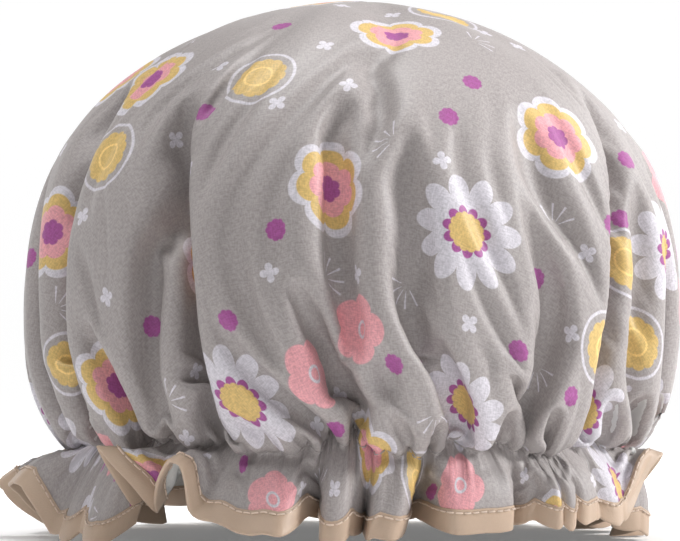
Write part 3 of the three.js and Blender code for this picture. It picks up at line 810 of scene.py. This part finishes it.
def printed_satin(colours):
    """Grey satin with a scattered print of daisies, rosettes, blossoms, ringed discs, dots, sparks and sprays, and
    painted shade in its creases by the gather.
    """
    f = Finish("printed_satin", **{"Sheen Weight": 0.05, "Sheen Roughness": 0.4, "Specular IOR Level": 0.42})
    place = f.cloth_mm()
    x, y, _ = f.parts(place)
    slub = f.noise(f.joined(x * 1.5, y * 0.5), 1.0, 1.0)
    weft = f.noise(f.joined(x * 0.45, y * 1.6), 1.0, 1.0)
    weave = slub * 0.5 + weft * 0.5
    cloud = f.noise(place, 0.02, 2.0)
    radius = f.math("SQRT", x * x + y * y)
    bearing = f.vector("SCALE", f.vector("NORMALIZE", f.joined(x, y)), scale=drape().gather)
    bx, by, _ = f.parts(bearing)
    # Radial streaks by the gather: a bump for the fine pleats, and painted shade in their creases below.
    crease = f.noise(f.joined(bx, by, radius * 0.05), 0.16, 1.0)
    drawn = math.e ** (abs(radius - drape().gather) / -11.0)

    big = Scatter(f, place, 84.0, (0.31, 0.17))
    mid = Scatter(f, place, 61.0, (0.72, 0.44))
    small = Scatter(f, place, 27.0, (0.13, 0.58))
    mid_free = f.step(big.away(mid.middle), 34.0, 36.0)
    small_free = f.step(big.away(small.middle), 27.0, 28.0) * f.step(mid.away(small.middle), 18.0, 19.0)
    dot = (small.pick < 0.26) * small_free
    spark = (small.pick > 0.26) * (small.pick < 0.76) * small_free
    spray = (small.pick > 0.76) * small_free * f.step(f.math("COSINE", small.angle), 0.05, 0.2)
    rays = small.ring(2.5, 9.5) * f.step(f.math("COSINE", small.angle * 11), 0.80, 0.92)
    blossom = (mid.pick < 0.46) * mid_free
    disc = (mid.pick > 0.46) * (mid.pick < 0.86) * mid_free
    daisy = big.pick < 0.64
    rosette = 1 - daisy
    white, pink, gold, violet = colours.white, colours.pink, colours.gold, colours.violet
    colour = f.mix(cloud, tinted(colours.ground, 0.95), tinted(colours.ground, 1.05))
    for shape, ink in (
        (small.petals(9, 4.4, 0.14) * dot, violet),
        (small.petals(4, 3.9, 0.72, 0.25) * spark, white),
        (rays * spray, white),
        (mid.petals(5, 14.0, 0.22) * blossom, pink),
        (mid.ring(2.4, 3.6) * blossom, white),
        (mid.petals(12, 11.5, 0.10) * disc, gold),
        (mid.ring(14.0, 15.3) * disc, white),
        (mid.ring(5.0, 6.0) * disc, tinted(gold, 1.35)),
        (big.petals(11, 23.0, 0.36) * daisy, white),
        (big.petals(11, 10.5, 0.30) * daisy, violet),
        (big.petals(14, 8.0, 0.10) * daisy, gold),
        (big.petals(7, 20.0, 0.20) * rosette, white),
        (big.petals(7, 16.5, 0.20) * rosette, gold),
        (big.petals(7, 11.5, 0.20) * rosette, pink),
        (big.petals(7, 5.5, 0.20) * rosette, violet),
    ):
        colour = f.mix(shape, colour, ink)

    # Weave tone varies at random; the crease streaks near the gather are darkened as painted shade of unresolved
    # pleats.
    shade = f.step(weave, 0.3, 0.7) - 1.8 * drawn * f.step(crease, 0.46, 0.30)
    colour = f.wire("ShaderNodeMix", {"data_type": "RGBA", "blend_type": "MULTIPLY"},
                    {0: 1.0, 6: colour, 7: f.mix(shade, (0.82, 0.82, 0.82), (1.14, 1.14, 1.14))}, 2)
    f.feed(f.shader, {"Base Color": colour, "Roughness": 0.40 + 0.2 * weave,
                      "Normal": f.bump(weave * 0.16 + crease * drawn * 6, 0.0009, 0.8)})
    return f.material


def bias_tape(colours):
    """Beige satin cut on the bias: fine slanting threads and a soft shine."""
    f = Finish("bias_tape", **{"Sheen Weight": 0.08, "Sheen Roughness": 0.35, "Specular IOR Level": 0.5})
    place = f.cloth_mm()
    u, v, _ = f.parts(place)
    slant = f.noise(f.joined((u + v) * 2.6, (u - v) * 0.5), 1.0, 1.0)
    cloud = f.noise(place, 0.09, 2.0)
    colour = f.mix(0.5 * slant + 0.5 * cloud, tinted(colours.tape, 0.88), tinted(colours.tape, 1.12))
    f.feed(f.shader, {"Base Color": colour, "Roughness": 0.34 + 0.2 * slant, "Normal": f.bump(slant, 0.00015, 0.7)})
    return f.material


def frosted_film(colours):
    """Milky film with fine crumples; its colour is darkened to a grey as painted shade."""
    f = Finish("frosted_film", **{"Specular IOR Level": 0.5})
    place = f.cloth_mm()
    crumple = f.noise(place, 0.11, 4.0)
    grain = f.noise(place, 1.6, 2.0)
    colour = f.mix(crumple, tinted(colours.film, 0.92), tinted(colours.film, 1.06))
    f.feed(f.shader, {"Base Color": colour, "Roughness": 0.26 + 0.2 * grain,
                      "Normal": f.bump(crumple + grain * 0.06, 0.0016, 0.8)})
    return f.material


def braided_elastic():
    """White braid: ribs along the band crossed by slanting threads."""
    f = Finish("braided_elastic", **{"Sheen Weight": 0.2, "Specular IOR Level": 0.3})
    u, v, _ = f.parts(f.cloth_mm())
    ribs = f.math("SINE", v * (TAU / 0.9))
    braid = f.math("SINE", u * (TAU / 0.8) + f.math("SIGN", ribs) * v * 3.0)
    height = ribs * 0.6 + braid * 0.4
    colour = f.mix(0.5 + 0.5 * height, (0.66, 0.65, 0.62), (0.86, 0.85, 0.82))
    f.feed(f.shader, {"Base Color": colour, "Roughness": 0.6 + 0.1 * height, "Normal": f.bump(height, 0.0002, 0.8)})
    return f.material


def twisted_thread(name, colour):
    """Polyester thread whose plies wind round it."""
    f = Finish(name, **{"Sheen Weight": 0.2, "Specular IOR Level": 0.4})
    u, v, _ = f.parts(f.cloth_mm())
    ply = f.math("SINE", u * (TAU / 0.8) + v * (TAU * MM))
    shade = f.mix(0.5 + 0.5 * ply, tinted(colour, 0.8), tinted(colour, 1.12))
    f.feed(f.shader, {"Base Color": shade, "Roughness": 0.5 + 0.08 * ply, "Normal": f.bump(ply, 0.0001, 0.6)})
    return f.material


def pale_floor():
    """Matt pale paper with a faint mottle. It glows a little, most behind the cap, and is dark far out."""
    f = Finish("pale_floor", **{"Specular IOR Level": 0.2, "Emission Strength": 0.9})
    place = f.wire("ShaderNodeTexCoord", {}, {}, "Object")
    mottle = f.noise(place, 2.0, 2.0)
    x, y, _ = f.parts(place)
    far = f.step(x * x + y * y, 0.3, 2.5)
    glow = f.math("MAXIMUM", 0.16 + 0.84 * f.step(y, 0.05, 0.6), 0.3 * far)
    paper = f.mix(mottle, (0.86, 0.86, 0.86), (0.90, 0.90, 0.90))
    f.feed(f.shader, {"Base Color": f.mix(far, paper, (0.12, 0.12, 0.12)),
                      "Roughness": 0.75 + 0.1 * mottle, "Emission Color": f.mix(glow, (0, 0, 0), (1, 1, 1))})
    return f.material


# ------------------------------------------------------------------------------------------------ operators

class CAP_OT_outer_fabric(bpy.types.Operator):
    """Build the printed satin disc, gathered into crown and ruffle"""

    bl_idname = "cap.outer_fabric"
    bl_label = "Printed Outer Fabric"

    def execute(self, context):
        finish = printed_satin(context.scene.cap_colours)
        _made["fabric"] = cloth_sheet("outer_fabric", 0.0, 0.0, 0.0, finish, "printed_outer_fabric")
        return {"FINISHED"}


class CAP_OT_liner(bpy.types.Operator):
    """Build the waterproof film inside the satin"""

    bl_idname = "cap.liner"
    bl_label = "Waterproof Liner"

    def execute(self, context):
        finish = frosted_film(context.scene.cap_colours)
        _made["liner"] = cloth_sheet("film_liner", -0.35, 1.2, 1.0, finish, "waterproof_liner")
        return {"FINISHED"}


class CAP_OT_binding(bpy.types.Operator):
    """Build the tape folded over the hem"""

    bl_idname = "cap.binding"
    bl_label = "Hem Binding"

    def execute(self, context):
        cloth, sizes = drape(), context.scene.cap_sizes
        width, edge = sizes.tape_width / MM, cloth.hem
        count = round(TAU * edge / (sizes.stitch_pitch / MM))
        theta = np.arange(2 * COLUMNS) * TAU / (2 * COLUMNS)
        # The section from the outer edge round the hem to the inner edge: mm past the hem and mm off the drape.
        face = np.linspace(-width + 0.3, 0.0, 12)
        outer = np.stack((face, np.full_like(face, TAPE_FACES[0])), axis=-1)
        inner = np.stack((face[::-1], np.full_like(face, TAPE_FACES[1])), axis=-1)
        across = np.concatenate(([(-width + 0.1, 0.05), (-width, 0.3)], outer,
                                 [(0.4, 0.35), (0.6, -0.05), (0.6, -0.35), (0.4, -0.75)], inner,
                                 [(-width, -0.7), (-width + 0.1, -0.4)]))
        past, off = across[:, :1], across[:, 1:]
        run = np.concatenate(([0], np.cumsum(np.hypot(*np.diff(across, axis=0).T))))
        sewn = np.exp(-((past + width - STITCH_INSET) / 1.1) ** 2) * (np.abs(off) > 0.45)
        pucker = sewn * (0.14 * np.cos(count * theta)[None, :] - 0.22)
        points = cloth.at(theta[None, :], edge + past, off + np.sign(off) * pucker)
        uv = np.stack(np.broadcast_arrays(theta[None, :] * edge, run[:, None]), axis=-1) * MM
        faces = ring_quads(len(across), len(theta))
        finish = bias_tape(context.scene.cap_colours)
        _made["binding"] = add_piece("hem_tape", points, faces, uv, finish, "hem_binding")
        return {"FINISHED"}


class CAP_OT_stitches(bpy.types.Operator):
    """Sew the rows of stitches along the gather and the hem binding"""

    bl_idname = "cap.stitches"
    bl_label = "Stitches"

    def execute(self, context):
        cloth, sizes = drape(), context.scene.cap_sizes
        colours = context.scene.cap_colours
        pitch, radius = sizes.stitch_pitch / MM, sizes.thread_diameter / MM / 2
        beige = twisted_thread("beige_thread", tinted(colours.tape, 1.2, 0.24))
        grey = twisted_thread("grey_thread", tinted(colours.ground, 1.25))
        on_tape = cloth.hem - sizes.tape_width / MM + STITCH_INSET
        # Each row: its name, place down the cloth, mm off the drape, arch, finish, node and slot.
        rows = (
            ("binding_needle_stitches", on_tape, 0.52, 0.28, beige, "binding_needle_thread", "beige_thread"),
            ("binding_bobbin_stitches", on_tape, -0.92, 0.28, beige, "binding_bobbin_thread", "beige_thread"),
            ("gather_needle_stitches", cloth.gather, 0.05, 0.3, grey, "gather_needle_thread", "grey_thread"),
            ("gather_bobbin_stitches", cloth.gather, -0.4, 0.3, grey, "gather_bobbin_thread", "grey_thread"),
        )
        for name, s, out, lift, finish, node, slot in rows:
            count = round(TAU * s / pitch)
            theta = (np.arange(count) + 0.5) * TAU / count
            points, faces, uv = stitches(theta, s, 0.4 * TAU / count, out, lift, radius)
            _made[name] = add_piece(name, points, faces, uv, finish, node)
        return {"FINISHED"}


class CAP_OT_elastic(bpy.types.Operator):
    """Build the elastic ring inside the gather, its ends lapped and tacked at the back"""

    bl_idname = "cap.elastic"
    bl_label = "Elastic Band"

    def execute(self, context):
        width = context.scene.cap_sizes.elastic_width / MM
        outer = (ELASTIC_BOX[1][0] - ELASTIC_BOX[0][0]) / 2 / MM - 0.6
        lap, climb = 16.0, 6.0  # mm of the lap, and mm in which its upper end climbs onto the lower one
        turn = np.linspace(0, TAU + lap / outer, 721)
        over = smooth((turn - TAU + climb / outer) / (climb / outer))
        middle = outer - 0.5 - 1.35 * over + 0.25 * np.sin(23 * turn)
        corner = np.array([(-0.35, -1.0), (0.0, -1.04), (0.35, -1.0), (0.5, -0.9), (0.5, 0.0), (0.5, 0.9), (0.35, 1.0),
                           (0.0, 1.04), (-0.35, 1.0), (-0.5, 0.9), (-0.5, 0.0), (-0.5, -0.9)])
        sides = len(corner)
        r = middle[:, None] + corner[None, :, 0]
        z = corner[None, :, 1] * width / 2 + 0.3 * np.sin(17 * turn)[:, None]
        x, y = -r * np.sin(turn)[:, None], r * np.cos(turn)[:, None]
        points = np.stack(np.broadcast_arrays(x, y, z), axis=-1)
        faces = ring_quads(len(turn), sides).tolist()
        last = (len(turn) - 1) * sides
        faces += [list(range(sides)), [last + k for k in reversed(range(sides))]]
        around = np.concatenate(([0], np.cumsum(np.hypot(*np.diff(corner * (1, width / 2), axis=0).T))))
        uv = np.stack(np.broadcast_arrays(turn[:, None] * outer, around[None, :]), axis=-1) * MM
        _made["elastic"] = add_piece("elastic_ring", points, faces, uv, braided_elastic(), "elastic_band")
        zig = np.linspace(0, 1, 161)
        across = 2 / math.pi * np.arcsin(np.sin(TAU * 4.5 * zig))
        bearing = (2.5 + 11 * zig) / outer
        inner = np.interp(bearing + TAU, turn, middle) - 0.75
        path = np.stack((-inner * np.sin(bearing), inner * np.cos(bearing), across * width * 0.36), axis=-1)
        points, faces, uv = cord(path, context.scene.cap_sizes.thread_diameter / MM / 2)
        white = twisted_thread("white_thread", (0.80, 0.79, 0.76))
        _made["tack"] = add_piece("elastic_tack", points, faces, uv, white, "elastic_tack_thread")
        return {"FINISHED"}


class CAP_OT_declare_cloth(bpy.types.Operator):
    """Work out the flat cloth disc's side and area; nothing uses them"""

    bl_idname = "cap.declare_cloth"
    bl_label = "Declare Cloth"

    def execute(self, context):
        side = 2 * drape().hem * MM
        area = math.pi * (side / 2) ** 2
        return {"FINISHED"}


class CAP_OT_stage(bpy.types.Operator):
    """Set up the floor, the lights and the camera"""

    bl_idname = "cap.stage"
    bl_label = "Stage"

    def execute(self, context):
        scene, stage = context.scene, context.scene.cap_stage
        turn = np.arange(64) * TAU / 64
        bend = np.linspace(0, math.pi / 2, 13)
        out = np.concatenate(([0.001, 0.4, 1.2, 2.0], FLOOR_RADIUS - FLOOR_BEND * (1 - np.sin(bend)), [FLOOR_RADIUS]))
        high = np.concatenate((np.zeros(4), FLOOR_BEND * (1 - np.cos(bend)), [WALL_HEIGHT]))
        x, y = out[:, None] * np.cos(turn), out[:, None] * np.sin(turn)
        points = np.stack(np.broadcast_arrays(x, y, high[:, None]), axis=-1)
        mesh = bpy.data.meshes.new("floor")
        mesh.from_pydata(points.reshape(-1, 3).tolist(), [], ring_quads(len(out), len(turn)).tolist())
        mesh.polygons.foreach_set("use_smooth", np.ones(len(mesh.polygons), bool))
        mesh.materials.append(pale_floor())
        floor = bpy.data.objects.new("floor", mesh)
        scene.collection.objects.link(floor)

        for name, size, place, target in LIGHTS:
            light = bpy.data.lights.new(f"{name}_light", "AREA")
            light.energy, light.shape, light.size = getattr(stage, name), "DISK", size
            lamp = bpy.data.objects.new(f"{name}_light", light)
            lamp.location = place
            lamp.rotation_euler = (Vector(target) - Vector(place)).to_track_quat("-Z", "Y").to_euler()
            scene.collection.objects.link(lamp)
        world = bpy.data.worlds.new("room")
        world.use_nodes = True
        sky = world.node_tree.nodes["Background"].inputs
        sky["Color"].default_value, sky["Strength"].default_value = (1, 1, 1, 1), stage.sky
        scene.world = world
        scene.view_settings.view_transform = "Standard"

        camera = bpy.data.cameras.new("camera")
        camera.sensor_width = SENSOR
        camera.lens = SENSOR * stage.focal_pixels / PICTURE[0]
        eye = bpy.data.objects.new("camera", camera)
        middle_x = RING[0] - (AXIS_COLUMN - PICTURE[0] / 2) / PICTURE_SCALE * MM
        eye.location = (middle_x, RING[1] - stage.distance, stage.eye_height)
        tilt = math.atan((EYE_ROW - PICTURE[1] / 2) / stage.focal_pixels)
        eye.rotation_euler = (math.pi / 2 + tilt, 0, 0)
        scene.collection.objects.link(eye)
        scene.camera = eye
        return {"FINISHED"}


class CAP_PT_panel(bpy.types.Panel):
    """Lists the pieces and the values they are made from"""

    bl_idname = "CAP_PT_panel"
    bl_label = "Shower Cap"
    bl_space_type = "VIEW_3D"
    bl_region_type = "UI"
    bl_category = "Cap"

    def draw(self, context):
        for group in (context.scene.cap_sizes, context.scene.cap_colours, context.scene.cap_stage):
            box = self.layout.box()
            for key in group.__annotations__:
                box.prop(group, key)
        for operator in OPERATORS:
            self.layout.operator(operator.bl_idname)


GROUPS = (CapSizes, CapColours, CapStage)
OPERATORS = (CAP_OT_stage, CAP_OT_outer_fabric, CAP_OT_liner, CAP_OT_binding, CAP_OT_stitches, CAP_OT_elastic,
             CAP_OT_declare_cloth)


def register():
    for cls in (*GROUPS, *OPERATORS, CAP_PT_panel):
        bpy.utils.register_class(cls)
    bpy.types.Scene.cap_sizes = bpy.props.PointerProperty(type=CapSizes)
    bpy.types.Scene.cap_colours = bpy.props.PointerProperty(type=CapColours)
    bpy.types.Scene.cap_stage = bpy.props.PointerProperty(type=CapStage)


def unregister():
    del bpy.types.Scene.cap_sizes, bpy.types.Scene.cap_colours, bpy.types.Scene.cap_stage
    for cls in reversed((*GROUPS, *OPERATORS, CAP_PT_panel)):
        bpy.utils.unregister_class(cls)


def main():
    register()
    bpy.ops.cap.stage()
    bpy.ops.cap.outer_fabric()
    bpy.ops.cap.liner()
    bpy.ops.cap.binding()
    bpy.ops.cap.stitches()
    bpy.ops.cap.elastic()
    bpy.ops.cap.declare_cloth()
    bpy.context.view_layer.update()


if __name__ == "__main__":
    main()
